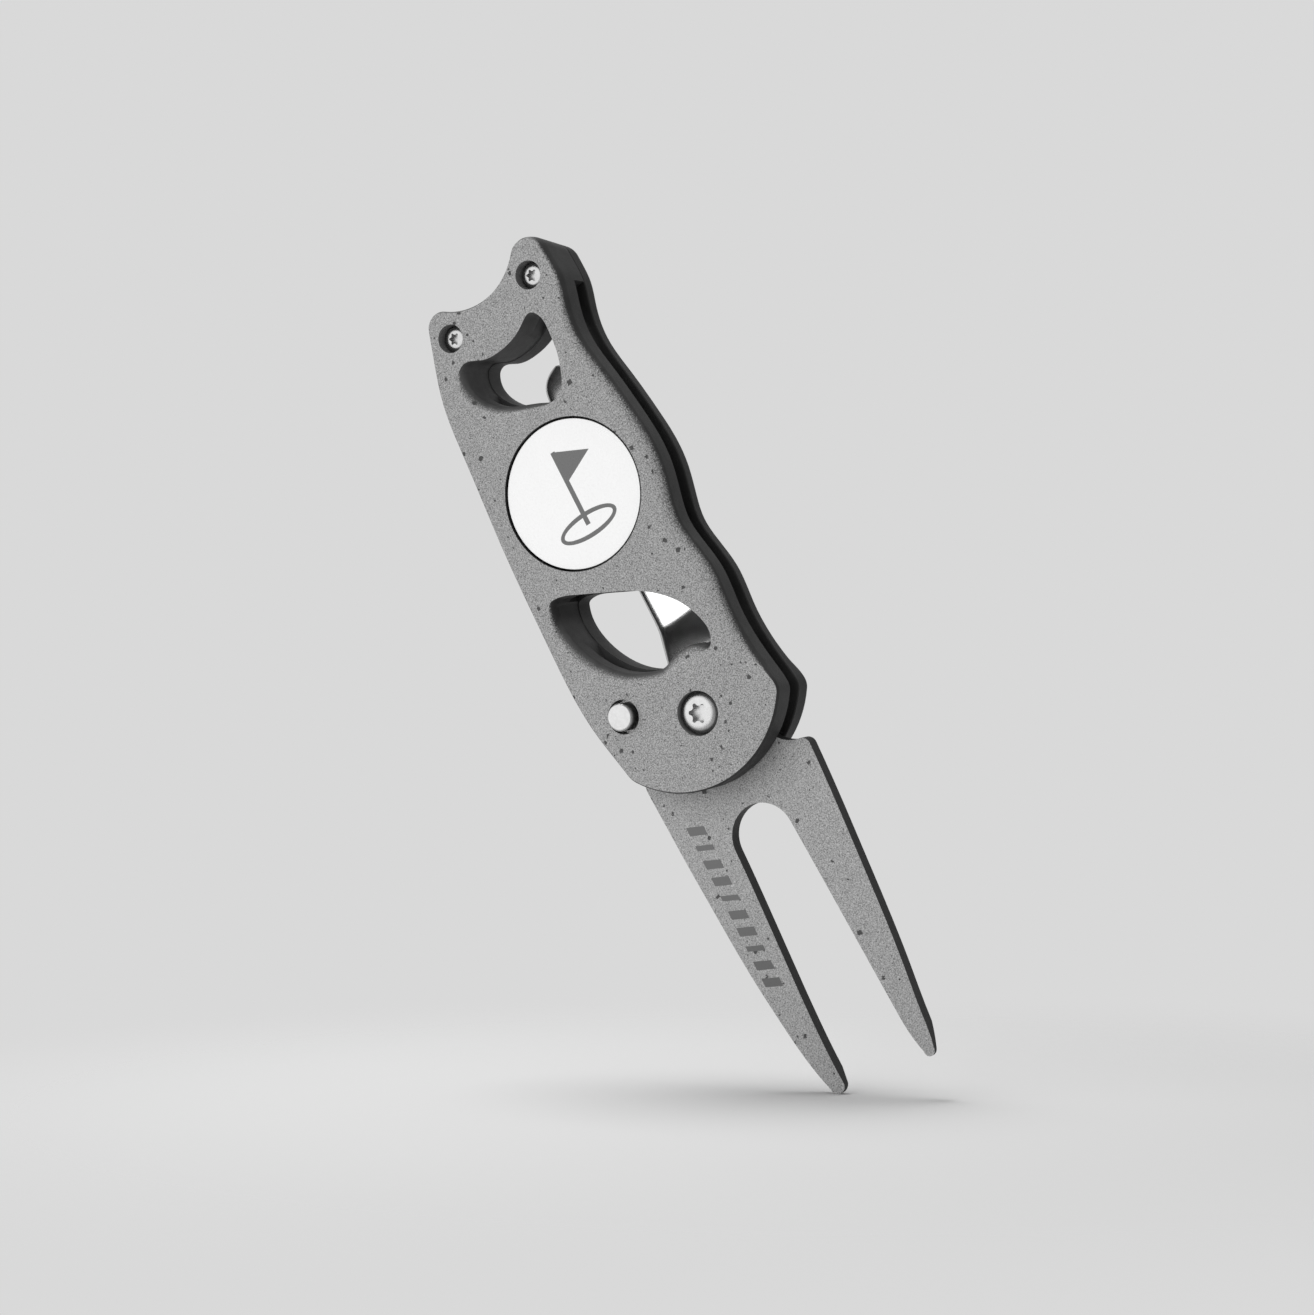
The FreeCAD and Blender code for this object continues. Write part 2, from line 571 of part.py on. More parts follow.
def pivot_barrel():
    """Hollow hinge pin that both pivot screws thread into."""
    top = -(PIVOT_RECESS_DEPTH + 0.05)
    bottom = REAR_Z + REAR_PIVOT_RECESS_DEPTH + 0.05
    outside = rod(PIVOT, BARREL_R, top, bottom)
    return outside.cut(rod(PIVOT, BARREL_BORE_R, top + OVERCUT, bottom - OVERCUT))


def pivot_screw_at_zero():
    """A domed pivot screw whose head rests on height zero."""
    shank_radius = BARREL_BORE_R - THREAD_CLEARANCE
    return dome_screw(V(0, 0, 0), PIVOT_HEAD_R, PIVOT_HEAD_HEIGHT, shank_radius, PIVOT_SHANK, PIVOT_TORX_R)


def pivot_screw():
    """Domed screw in the front recess."""
    screw = pivot_screw_at_zero()
    screw.translate(V(PIVOT.x, PIVOT.y, -PIVOT_RECESS_DEPTH))
    return screw


def pivot_screw_rear():
    """The same screw in the rear recess, facing the other way."""
    screw = pivot_screw_at_zero()
    screw.rotate(V(0, 0, 0), V(1, 0, 0), 180)
    screw.translate(V(PIVOT.x, PIVOT.y, REAR_Z + REAR_PIVOT_RECESS_DEPTH))
    return screw


def washer(top):
    """Bearing washer between the fork and a cover."""
    outside = rod(PIVOT, WASHER_R, top, top - WASHER_THICK)
    return outside.cut(rod(PIVOT, WASHER_BORE_R, top + OVERCUT, top - WASHER_THICK - OVERCUT))


def washer_front():
    """Front bearing washer, pierced for the spring's inner leg."""
    ring = washer(-FRONT_WALL)
    return ring.cut(rod(spring_leg_place(), SPRING_LEG_HOLE_R, 0, FORK_TOP_Z - OVERCUT))


def washer_rear():
    """Rear bearing washer."""
    return washer(FORK_LOW_Z)


def torsion_spring():
    """Opening spring: two turns, one leg held in the front wall and one in the fork."""
    bottom = -FRONT_WALL + SPRING_WIRE_R + SPRING_GAP
    body = coil(V(0, 0, 0), SPRING_R, SPRING_WIRE_R, SPRING_PITCH, SPRING_TURNS, bottom)
    body.rotate(V(0, 0, 0), V(0, 0, 1), 180)
    body.translate(V(PIVOT.x, PIVOT.y, 0))
    inner_leg = rod(spring_leg_place(), SPRING_WIRE_R, bottom, FORK_TOP_Z - SPRING_LEG_DEPTH)
    top_z = bottom + SPRING_PITCH * SPRING_TURNS
    outer_start = polar(V(PIVOT.x, PIVOT.y, top_z), SPRING_R, 180)
    outer_leg = Part.makeCylinder(SPRING_WIRE_R, SPRING_LEG, outer_start, V(0, -1, 0))
    return body.fuse([inner_leg, outer_leg])


def stop_pin():
    """Hardened pin across the slot that the fork's back shoulder rests against when open."""
    top = STOP_PIN_SEAT - FRONT_WALL - STOP_PIN_END_GAP
    bottom = SEAM_Z - STOP_PIN_SEAT + STOP_PIN_END_GAP
    return rod(STOP_PIN, STOP_PIN_R, top, bottom)


# ---------------------------------------------------------------- lock button

def lock_button():
    """Plunger with a finger cap, a retaining flange, a neck and the drum that locks the fork."""
    cap = rod(BUTTON, BUTTON_R, BUTTON_PROUD, FORK_LOW_Z - LOCK_DRUM_GAP)
    cap_rim = [edge for edge in cap.Edges if abs(edge.BoundBox.ZMin - BUTTON_PROUD) < 0.01]
    cap = cap.makeFillet(BUTTON_RIM_R, cap_rim)
    flange = rod(BUTTON, BUTTON_FLANGE_R, -BUTTON_FLANGE_TOP, -BUTTON_FLANGE_TOP - BUTTON_FLANGE_THICK)
    drum_top = FORK_LOW_Z - LOCK_DRUM_GAP
    drum = rod(BUTTON, LOCK_DRUM_R, drum_top, drum_top - LOCK_DRUM_HEIGHT)
    bore = rod(BUTTON, BUTTON_BORE_R, -BUTTON_BORE_TOP, drum_top - LOCK_DRUM_HEIGHT - OVERCUT)
    return cap.fuse([flange, drum]).cut(bore).removeSplitter()


def button_spring():
    """Compression spring between the plunger's bore and the rear cover."""
    low = SEAM_Z - LOCK_POCKET_DEPTH + BUTTON_SPRING_WIRE_R + BUTTON_SPRING_END_GAP
    high = -BUTTON_BORE_TOP - BUTTON_SPRING_WIRE_R - BUTTON_SPRING_END_GAP
    pitch = (high - low) / BUTTON_SPRING_TURNS
    return coil(BUTTON, BUTTON_SPRING_R, BUTTON_SPRING_WIRE_R, pitch, BUTTON_SPRING_TURNS, low)


# ---------------------------------------------------------------- ball marker

def ball_marker():
    """Steel disc with a shallow recess for its enamel face."""
    disc = rod(V(0, 0, 0), MARKER_R, -MARKER_SINK, -MARKER_SINK - MARKER_THICK)
    rims = [edge for edge in disc.Edges if edge.BoundBox.ZLength < 0.01]
    disc = disc.makeChamfer(MARKER_RIM_CHAMFER, rims)
    return disc.cut(rod(V(0, 0, 0), ENAMEL_R, OVERCUT, -MARKER_SINK - ENAMEL_THICK))


def emblem():
    """A plain flag-in-a-hole sign: stick, pennant and the ring of the hole."""
    low = -MARKER_SINK - EMBLEM_THICK
    up = V(0, 0, EMBLEM_THICK)
    stick = Part.makeBox(STICK_LENGTH, STICK_WIDTH, EMBLEM_THICK, V(STICK_TOP, -STICK_WIDTH / 2, low))
    pennant_end = STICK_TOP + PENNANT_LENGTH
    corners = [(STICK_TOP, 0), (STICK_TOP + PENNANT_LENGTH / 2, PENNANT_REACH), (pennant_end, 0)]
    pennant = Part.Face(at_height(polygon(corners), low)).extrude(up)
    outside = ring_edge(low, 0)
    inside = ring_edge(low, HOLE_RING_WIDTH)
    ring = outside.cut(inside).extrude(up)
    return stick.fuse([pennant, ring]).removeSplitter()


def ring_edge(height, inset):
    """The filled ellipse of the hole's ring, drawn in by an inset, with its long axis across the tool."""
    centre = V(HOLE_RING_X, 0, height)
    ellipse = Part.Ellipse(centre, HOLE_RING_LONG - inset, HOLE_RING_SHORT - inset)
    face = Part.Face(Part.Wire(ellipse.toShape()))
    face.rotate(centre, V(0, 0, 1), 90)
    return face


def marker_face():
    """Enamel fill in the marker's recess."""
    fill = rod(V(0, 0, 0), ENAMEL_R, -MARKER_SINK, -MARKER_SINK - ENAMEL_THICK)
    return fill.cut(emblem())


def marker_magnet():
    """Disc magnet under the marker."""
    return rod(V(0, 0, 0), MAGNET_R, -MARKER_POCKET_DEPTH - 0.02, -MARKER_POCKET_DEPTH - MAGNET_THICK)


# ---------------------------------------------------------------- small screws

def head_screws():
    """Two screws that clamp the covers together at the ears."""
    screws = []
    for place in HEAD_SCREWS:
        length = -REAR_Z - HEAD_SCREW_END_FLOOR - SMALL_HEAD_SINK - SMALL_HEAD_HEIGHT
        screw = dome_screw(place, SMALL_HEAD_R, SMALL_HEAD_HEIGHT, SMALL_SHANK_R, length, SMALL_TORX_R)
        screw.translate(V(0, 0, -(SMALL_HEAD_SINK + SMALL_HEAD_HEIGHT)))
        screws.append(screw)
    return Part.makeCompound(screws)


def clip_screws():
    """Three screws that hold the clip's foot to the rear cover."""
    screws = []
    for place in CLIP_SCREWS:
        screw = dome_screw(V(0, 0, 0), CLIP_HEAD_R, CLIP_HEAD_HEIGHT, SMALL_SHANK_R,
                           CLIP_SHANK_LENGTH + CLIP_THICK, SMALL_TORX_R)
        screw.rotate(V(0, 0, 0), V(1, 0, 0), 180)
        screw.translate(V(place.x, place.y, REAR_Z - CLIP_THICK))
        screws.append(screw)
    return Part.makeCompound(screws)


# ---------------------------------------------------------------- pocket clip

def clip_plan():
    """The clip's outline from above: a round tip, a tapering strap and a round foot."""
    tip = V(CLIP_TIP_X + CLIP_TIP_R, CLIP_Y, 0)
    strap_back = V(CLIP_KINK_X, CLIP_Y - CLIP_STRAP_HALF, 0)
    strap_grip = V(CLIP_KINK_X, CLIP_Y + CLIP_STRAP_HALF, 0)
    foot_back = polar(CLIP_FOOT_CENTRE, CLIP_FOOT_R, -96)
    foot_grip = polar(CLIP_FOOT_CENTRE, CLIP_FOOT_R, 96)
    edges = [arc(tip, CLIP_TIP_R, 270, 90),
             Part.makeLine(polar(tip, CLIP_TIP_R, 90), strap_grip),
             Part.makeLine(strap_grip, foot_grip),
             arc(CLIP_FOOT_CENTRE, CLIP_FOOT_R, 96, -96),
             Part.makeLine(foot_back, strap_back),
             Part.makeLine(strap_back, polar(tip, CLIP_TIP_R, 270))]
    return Part.Wire(edges)


def clip_side():
    """The clip's side view as (x, depth of its cover side below the rear face)."""
    flare = [(CLIP_TOUCH_X, CLIP_TOUCH_GAP)]
    steps = 6
    for step in range(1, steps + 1):
        share = step / steps
        x = CLIP_TOUCH_X + (CLIP_TIP_X - 1 - CLIP_TOUCH_X) * share
        flare.append((x, CLIP_TOUCH_GAP + (CLIP_TIP_GAP - CLIP_TOUCH_GAP) * share ** CLIP_FLARE_POWER))
    return [(CLIP_FOOT_CENTRE.x + 8, 0.0), (CLIP_FOOT_X, 0.0), (CLIP_KINK_X, CLIP_GAP)] + flare


def clip_sheet():
    """The whole bent strip, trimmed to its outline."""
    upper = clip_side()
    normals = []
    for index in range(len(upper)):
        before = upper[max(index - 1, 0)]
        after = upper[min(index + 1, len(upper) - 1)]
        first = unit(upper[index][0] - before[0], upper[index][1] - before[1])
        second = unit(after[0] - upper[index][0], after[1] - upper[index][1])
        normals.append(mitre(first, second))
    lower = [(x + CLIP_THICK * n[0], d + CLIP_THICK * n[1]) for (x, d), n in zip(upper, normals)]
    outline = [V(x, -12, REAR_Z - d) for x, d in upper + lower[::-1]]
    strip = Part.Face(Part.makePolygon(outline + outline[:1])).extrude(V(0, 24, 0))
    plan = prism(clip_plan(), REAR_Z + 1, REAR_Z - CLIP_GAP - CLIP_THICK - 2)
    return strip.common(plan)


def unit(x, y):
    """A direction of length one, or none for a zero length."""
    length = math.hypot(x, y)
    return (x / length, y / length) if length > 0 else None


def mitre(first, second):
    """The offset direction at a bend, long enough to keep both legs one thickness deep."""
    first = first or second
    second = second or first
    normal_one = (first[1], -first[0])
    normal_two = (second[1], -second[0])
    total = (normal_one[0] + normal_two[0], normal_one[1] + normal_two[1])
    scale = 2 / (total[0] ** 2 + total[1] ** 2)
    return (total[0] * scale, total[1] * scale)


def clip_base():
    """The clip's screwed foot."""
    foot = clip_sheet().common(Part.makeBox(40, 40, 20, V(CLIP_FOOT_X, -20, REAR_Z - 10)))
    cutters = [rod(PIVOT, PIVOT_RECESS_R + CLIP_PIVOT_ROOM, REAR_Z + OVERCUT, REAR_Z - 3)]
    for place in CLIP_SCREWS:
        cutters.append(rod(place, SMALL_SHANK_R + POCKET_CLEARANCE, REAR_Z + OVERCUT, REAR_Z - 3))
    return foot.cut(cutters)


def clip_tongue():
    """The clip's springing tongue, from the foot to the round tip."""
    reach = Part.makeBox(60, 40, 20, V(CLIP_FOOT_X - CLIP_JOINT_GAP - 60, -20, REAR_Z - 10))
    return clip_sheet().common(reach)


# ---------------------------------------------------------------- assembly

PIECES = {
    "front_cover": front_cover,
    "rear_cover": rear_cover,
    "fork": fork,
    "pivot_barrel": pivot_barrel,
    "pivot_screw": pivot_screw,
    "pivot_screw_rear": pivot_screw_rear,
    "washer_front": washer_front,
    "washer_rear": washer_rear,
    "torsion_spring": torsion_spring,
    "stop_pin": stop_pin,
    "lock_button": lock_button,
    "button_spring": button_spring,
    "ball_marker": ball_marker,
    "marker_face": marker_face,
    "marker_emblem": emblem,
    "marker_magnet": marker_magnet,
    "head_screws": head_screws,
    "clip_base": clip_base,
    "clip_tongue": clip_tongue,
    "clip_screws": clip_screws,
}

pieces = {name: build() for name, build in PIECES.items()}
box = Part.makeCompound(list(pieces.values())).optimalBoundingBox(False, False)
to_row_frame = V(-(box.XMin + box.XMax) / 2, -(box.YMin + box.YMax) / 2, -box.ZMin)

os.makedirs("parts", exist_ok=True)
for name, shape in pieces.items():
    shape.translate(to_row_frame)
    shape.exportStep("parts/" + name + ".step")
    sizes = [round(value, 3) for value in (shape.Volume, shape.BoundBox.XLength, shape.BoundBox.YLength,
                                           shape.BoundBox.ZLength)]
    print(name, len(shape.Solids), shape.isValid(), sizes)
print("moved by", [round(value, 4) for value in to_row_frame])
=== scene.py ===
import bpy
import bmesh
import json
import math
from mathutils import Matrix, Vector

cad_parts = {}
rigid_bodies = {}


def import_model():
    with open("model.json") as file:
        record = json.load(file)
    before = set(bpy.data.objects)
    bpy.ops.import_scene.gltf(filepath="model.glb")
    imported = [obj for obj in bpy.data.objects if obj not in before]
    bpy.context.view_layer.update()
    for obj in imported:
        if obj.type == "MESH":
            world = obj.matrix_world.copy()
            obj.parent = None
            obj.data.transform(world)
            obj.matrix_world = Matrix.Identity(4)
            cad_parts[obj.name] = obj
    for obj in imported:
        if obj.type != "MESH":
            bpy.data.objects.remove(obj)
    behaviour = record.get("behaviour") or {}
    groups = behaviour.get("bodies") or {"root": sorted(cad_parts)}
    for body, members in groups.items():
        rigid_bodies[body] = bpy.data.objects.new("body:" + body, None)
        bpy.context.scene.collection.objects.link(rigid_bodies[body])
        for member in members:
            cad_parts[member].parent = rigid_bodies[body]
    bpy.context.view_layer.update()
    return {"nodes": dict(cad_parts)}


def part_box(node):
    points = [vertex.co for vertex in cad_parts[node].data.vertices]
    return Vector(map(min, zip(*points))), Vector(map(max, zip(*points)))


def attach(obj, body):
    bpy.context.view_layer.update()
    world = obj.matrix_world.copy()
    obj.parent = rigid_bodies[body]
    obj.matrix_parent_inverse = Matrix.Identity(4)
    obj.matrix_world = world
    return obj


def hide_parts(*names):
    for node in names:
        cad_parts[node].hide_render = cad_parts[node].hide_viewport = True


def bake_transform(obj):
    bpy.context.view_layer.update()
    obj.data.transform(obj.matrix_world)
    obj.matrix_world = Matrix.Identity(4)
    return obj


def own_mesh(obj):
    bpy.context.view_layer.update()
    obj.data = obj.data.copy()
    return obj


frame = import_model()
nodes = frame["nodes"]
scene = bpy.context.scene

# ---------------------------------------------------------------- places, read from the CAD nodes
FRONT_LOW, FRONT_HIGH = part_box("front_cover")
REAR_LOW, REAR_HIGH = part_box("rear_cover")
FORK_LOW, FORK_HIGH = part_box("fork")
MARKER_LOW, MARKER_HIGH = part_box("ball_marker")
MARKER = (MARKER_LOW + MARKER_HIGH) / 2
FACE_Z = FRONT_HIGH.z
REAR_Z = REAR_LOW.z
MM = 0.001


def from_marker(x_mm, y_mm):
    """A place at a distance from the middle of the ball marker."""
    return MARKER + Vector((x_mm, y_mm, 0.0)) * MM


# Centres and radii in mm of the screws' recesses and of the two cut-outs.
RECESSES = [(from_marker(-27.25, -5.75), 2.6), (from_marker(-28.3, 8.7), 2.6),
            (from_marker(33.7, 1.85), 3.5)]
HOLES = [(from_marker(-18.5, 0.5), 9.6), (from_marker(19.0, -1.0), 11.0)]


# ---------------------------------------------------------------- node helpers

# Patterns are sampled on turned axes, because a noise fades on planes that run along its own lattice.
PATTERN_TILT = (0.61, 0.47, 0.83)
EDGE_BLUR = 0.5


class Shader:
    """A material's node tree with short calls for the nodes that it uses."""

    def __init__(self, name):
        self.material = bpy.data.materials.new(name)
        self.material.use_nodes = True
        self.tree = self.material.node_tree
        self.tree.nodes.clear()
        self.surface = self.add("ShaderNodeBsdfPrincipled")
        output = self.add("ShaderNodeOutputMaterial")
        self.link(self.surface.outputs["BSDF"], output.inputs["Surface"])
        place = self.add("ShaderNodeTexCoord")
        self.place = self.vector_math("SCALE", place.outputs["Object"], scale=1000.0)
        self.normal = place.outputs["Normal"]
        tilt = self.add("ShaderNodeMapping")
        tilt.inputs["Rotation"].default_value = PATTERN_TILT
        self.link(self.place, tilt.inputs["Vector"])
        self.tilted = tilt.outputs[0]

    def add(self, kind):
        return self.tree.nodes.new(kind)

    def link(self, source, target):
        self.tree.links.new(source, target)

    def feed(self, socket, value):
        """A link if the value is a socket, otherwise the value itself."""
        if isinstance(value, bpy.types.NodeSocket):
            self.link(value, socket)
        else:
            socket.default_value = value

    def math(self, operation, first, second=0.0, third=0.0, clamp=False):
        node = self.add("ShaderNodeMath")
        node.operation = operation
        node.use_clamp = clamp
        for socket, value in zip(node.inputs, (first, second, third)):
            self.feed(socket, value)
        return node.outputs[0]

    def vector_math(self, operation, first, second=(0.0, 0.0, 0.0), scale=1.0):
        node = self.add("ShaderNodeVectorMath")
        node.operation = operation
        self.feed(node.inputs[0], first)
        self.feed(node.inputs[1], second)
        if operation == "SCALE":
            node.inputs["Scale"].default_value = scale
        return node.outputs[0]

    def split(self, vector):
        node = self.add("ShaderNodeSeparateXYZ")
        self.link(vector, node.inputs[0])
        return node.outputs[0], node.outputs[1], node.outputs[2]

    def noise(self, scale, detail=2.0, roughness=0.5, place=None):
        node = self.add("ShaderNodeTexNoise")
        node.inputs["Scale"].default_value = scale
        node.inputs["Detail"].default_value = detail
        node.inputs["Roughness"].default_value = roughness
        self.link(place or self.tilted, node.inputs["Vector"])
        return node.outputs[0]

    def noise_vector(self, scale, detail=1.0):
        node = self.add("ShaderNodeTexNoise")
        node.inputs["Scale"].default_value = scale
        node.inputs["Detail"].default_value = detail
        self.link(self.tilted, node.inputs["Vector"])
        return node.outputs[1]

    def smooth(self, value, low, high, out_low=0.0, out_high=1.0):
        """A smooth step from one output value to another between two input values."""
        node = self.add("ShaderNodeMapRange")
        node.interpolation_type = "SMOOTHSTEP"
        for socket, number in zip(node.inputs, (value, low, high, out_low, out_high)):
            self.feed(socket, number)
        return node.outputs[0]

    def mix(self, share, first, second):
        """A colour between two colours."""
        node = self.add("ShaderNodeMix")
        node.data_type = "RGBA"
        self.feed(node.inputs["Factor"], share)
        for socket, value in ((node.inputs[6], first), (node.inputs[7], second)):
            self.feed(socket, value)
        return node.outputs[2]

    def grey(self, value):
        """A grey colour from a number that varies over the surface."""
        node = self.add("ShaderNodeCombineColor")
        for socket in node.inputs:
            self.link(value, socket)
        return node.outputs[0]

    def bump(self, height, distance_mm, strength=1.0, below=None):
        node = self.add("ShaderNodeBump")
        node.inputs["Strength"].default_value = strength
        node.inputs["Distance"].default_value = distance_mm * MM
        self.link(height, node.inputs["Height"])
        if below is not None:
            self.link(below, node.inputs["Normal"])
        return node.outputs[0]

    def length(self, x, y):
        """The distance from the origin of a point in a plane."""
        squares = self.math("ADD", self.math("MULTIPLY", x, x), self.math("MULTIPLY", y, y))
        return self.math("SQRT", squares)

    def near(self, centre, reach_mm):
        """One inside a round column about a place, nought outside it."""
        x, y, _ = self.split(self.vector_math("SUBTRACT", self.place, tuple(centre * 1000)))
        return self.smooth(self.length(x, y), reach_mm - EDGE_BLUR, reach_mm + EDGE_BLUR, 1.0, 0.0)

    def near_any(self, places):
        """One inside any of several round columns, nought outside them all."""
        found = self.near(*places[0])
        for centre, reach_mm in places[1:]:
            found = self.math("MAXIMUM", found, self.near(centre, reach_mm))
        return found

    def specks(self, cells_per_mm, radius, share, ragged):
        """One where a cell's own fleck of paint lies, nought elsewhere.  Radius is in cells."""
        shift = self.vector_math("SUBTRACT", self.noise_vector(2.6, 2.0), (0.5, 0.5, 0.5))
        moved = self.vector_math("ADD", self.tilted, self.vector_math("SCALE", shift, scale=ragged))
        cells = self.add("ShaderNodeTexVoronoi")
        cells.inputs["Scale"].default_value = cells_per_mm
        self.link(moved, cells.inputs["Vector"])
        lot, size, _ = self.split(cells.outputs["Color"])
        reach = self.math("MULTIPLY_ADD", size, radius * 0.75, radius * 0.35)
        inside = self.math("SUBTRACT", reach, cells.outputs["Distance"])
        fleck = self.smooth(inside, -0.012, 0.02)
        chosen = self.math("LESS_THAN", lot, share)
        return self.math("MULTIPLY", fleck, chosen)


def grey3(value):
    return (value, value, value, 1.0)


# ---------------------------------------------------------------- materials

GRAIN_PER_MM = 6.2
GRAIN_SPREAD = 0.95
SPECKS_LARGE = (0.45, 0.16, 0.95, 0.6)
SPECKS_SMALL = (0.85, 0.13, 0.8, 0.4)
SPECK_TONE = 0.04
SPECK_COVER = 0.92
FACE_BAND = (1.7, 1.3)
RECESS_LIFT = 0.16
RING_DENSITY = 6.0


def stone_paint(name, low_face=None, high_face=None, side=0.05, inside=0.09, shade=-0.2):
    """Grey speckled paint on the outer faces, thinning over rounded edges onto a charcoal body; the
    thinning is partly painted shade on the bevels, and the lighter body tone on the cut-out walls is
    painted bounce light.
    """
    shader = Shader(name)
    _, _, height = shader.split(shader.place)
    _, _, facing = shader.split(shader.normal)
    grain = shader.noise(GRAIN_PER_MM, 2.0, 0.6)
    drift = shader.noise(0.09, 2.0)

    tone = shader.math("MULTIPLY_ADD", grain, GRAIN_SPREAD, shade)
    tone = shader.math("MULTIPLY_ADD", drift, 0.03, tone)
    flecks = shader.math("MAXIMUM", shader.specks(*SPECKS_LARGE), shader.specks(*SPECKS_SMALL))
    paint = shader.mix(shader.math("MULTIPLY", flecks, SPECK_COVER), shader.grey(tone), grey3(SPECK_TONE))

    # The paint share falls as the surface turns away from the faces: on the sides this is the dark body,
    # on the rounded bevels it is partly painted shade.
    turned = shader.math("ABSOLUTE", facing)
    level = shader.math("MULTIPLY_ADD", turned, 1.6, -1.0)
    cover = shader.smooth(shader.math("MULTIPLY_ADD", grain, 0.7, level), 0.3, 0.9)
    far, close = FACE_BAND
    if high_face is not None:
        cover = shader.math("MULTIPLY", cover, shader.smooth(height, high_face - far, high_face - close))
    if low_face is not None:
        cover = shader.math("MULTIPLY", cover, shader.smooth(height, low_face + far, low_face + close))

    # The cut-out walls get the lighter inside tone, which is painted bounce light; the recess lift is
    # paint that runs down the recess walls.
    body_tone_with_painted_bounce = shader.math("MULTIPLY_ADD", shader.near_any(HOLES), inside - side, side)
    body_tone_with_painted_bounce = shader.math("MULTIPLY_ADD", shader.near_any(RECESSES), RECESS_LIFT, body_tone_with_painted_bounce)
    body = shader.math("MULTIPLY", shader.math("MULTIPLY_ADD", shader.noise(0.6, 3.0), 0.7, 0.65), body_tone_with_painted_bounce)
    shader.link(shader.mix(cover, shader.grey(body), paint), shader.surface.inputs["Base Color"])
    rough = shader.math("MULTIPLY_ADD", grain, 0.25, 0.42)
    shader.link(rough, shader.surface.inputs["Roughness"])
    shader.surface.inputs["Specular IOR Level"].default_value = 0.22
    relief = shader.math("MULTIPLY_ADD", flecks, 0.8, grain)
    shader.link(shader.bump(relief, 0.05, 0.55), shader.surface.inputs["Normal"])
    return shader.material


def turned_steel(name, tone=0.78, centre=None, rough=0.22, pitch=9.0):
    """Bright machined steel with fine turning rings round a centre, or fine random scratches."""
    shader = Shader(name)
    shader.surface.inputs["Metallic"].default_value = 1.0
    if centre is not None:
        x, y, _ = shader.split(shader.vector_math("SUBTRACT", shader.place,
                                                  tuple(value * 1000 for value in centre)))
        rings = shader.math("SINE", shader.math("MULTIPLY", shader.length(x, y), pitch * RING_DENSITY))
    else:
        rings = shader.noise(pitch, 4.0, 0.7)
    cloud = shader.noise(1.8, 4.0, 0.6)
    shade = shader.math("MULTIPLY_ADD", cloud, 0.16, tone - 0.08)
    shader.link(shader.grey(shade), shader.surface.inputs["Base Color"])
    shader.link(shader.math("MULTIPLY_ADD", cloud, 0.12, rough), shader.surface.inputs["Roughness"])
    marks = shader.math("MULTIPLY_ADD", rings, 0.35, shader.noise(22.0, 2.0))
    shader.link(shader.bump(marks, 0.012, 0.5), shader.surface.inputs["Normal"])
    return shader.material


def polished_chrome(name):
    """Mirror-bright plate with faint hazing and hairlines along the strip."""
    shader = Shader(name)
    shader.surface.inputs["Metallic"].default_value = 1.0
    haze = shader.noise(0.5, 4.0, 0.6)
    x, y, z = shader.split(shader.place)
    stretch = shader.add("ShaderNodeCombineXYZ")
    shader.link(shader.math("MULTIPLY", x, 0.08), stretch.inputs[0])
    shader.link(y, stretch.inputs[1])
    shader.link(z, stretch.inputs[2])
    hairs = shader.noise(11.0, 3.0, 0.6, place=stretch.outputs[0])
    shader.link(shader.grey(shader.math("MULTIPLY_ADD", haze, 0.08, 0.76)),
                shader.surface.inputs["Base Color"])
    shader.link(shader.math("MULTIPLY_ADD", haze, 0.08, 0.15), shader.surface.inputs["Roughness"])
    shader.link(shader.bump(hairs, 0.002, 0.12), shader.surface.inputs["Normal"])
    return shader.material


def enamel(name, tone, rough=0.28):
    """Smooth enamel with a faint mottle and a soft orange-peel surface."""
    shader = Shader(name)
    mottle = shader.noise(0.5, 3.0)
    peel = shader.noise(2.2, 2.0)
    shader.link(shader.grey(shader.math("MULTIPLY_ADD", mottle, 0.04 * tone, 0.98 * tone)),
                shader.surface.inputs["Base Color"])
    shader.link(shader.math("MULTIPLY_ADD", peel, 0.12, rough - 0.06), shader.surface.inputs["Roughness"])
    shader.surface.inputs["Coat Weight"].default_value = 0.35
    shader.surface.inputs["Coat Roughness"].default_value = 0.08
    shader.link(shader.bump(peel, 0.01, 0.4), shader.surface.inputs["Normal"])
    return shader.material


def bronze(name):
    """Satin phosphor bronze with lapping marks."""
    shader = Shader(name)
    shader.surface.inputs["Metallic"].default_value = 1.0
    cloud = shader.noise(0.9, 4.0, 0.6)
    shader.link(shader.mix(cloud, (0.50, 0.29, 0.12, 1.0), (0.66, 0.42, 0.20, 1.0)),
                shader.surface.inputs["Base Color"])
    shader.link(shader.math("MULTIPLY_ADD", cloud, 0.2, 0.28), shader.surface.inputs["Roughness"])
    shader.link(shader.bump(shader.noise(18.0, 3.0), 0.01, 0.5), shader.surface.inputs["Normal"])
    return shader.material


def dress(piece, material):
    """Gives a piece one material."""
    piece.data.materials.clear()
    piece.data.materials.append(material)


# The inside tones below are painted bounce light on the cut-out walls.
paint_front = stone_paint("painted_grey", high_face=FACE_Z * 1000, side=0.033)
paint_rear = stone_paint("painted_grey_rear", low_face=REAR_Z * 1000, side=0.02, inside=0.06)
paint_fork = stone_paint("painted_fork", side=0.02, shade=-0.165)
steel = turned_steel("steel", tone=0.6, rough=0.3)
spring_wire = turned_steel("spring_steel", tone=0.45, rough=0.32)
magnet_plate = turned_steel("magnet", tone=0.6, rough=0.2)
marker_plate = turned_steel("marker_steel", tone=0.47, centre=MARKER, rough=0.25)
chrome = polished_chrome("clip_steel")
white = enamel("white_enamel", 0.83)
dark = enamel("dark_enamel", 0.075)
washer_bronze = bronze("bronze")


def centre_of(node):
    low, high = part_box(node)
    return (low + high) / 2


pivot_steel = turned_steel("pivot_steel", tone=0.41, centre=centre_of("pivot_screw"), rough=0.22)
button_steel = turned_steel("button_steel", tone=0.42, centre=centre_of("lock_button"), rough=0.24)
screw_steel = turned_steel("screw_steel", tone=0.37, rough=0.22)

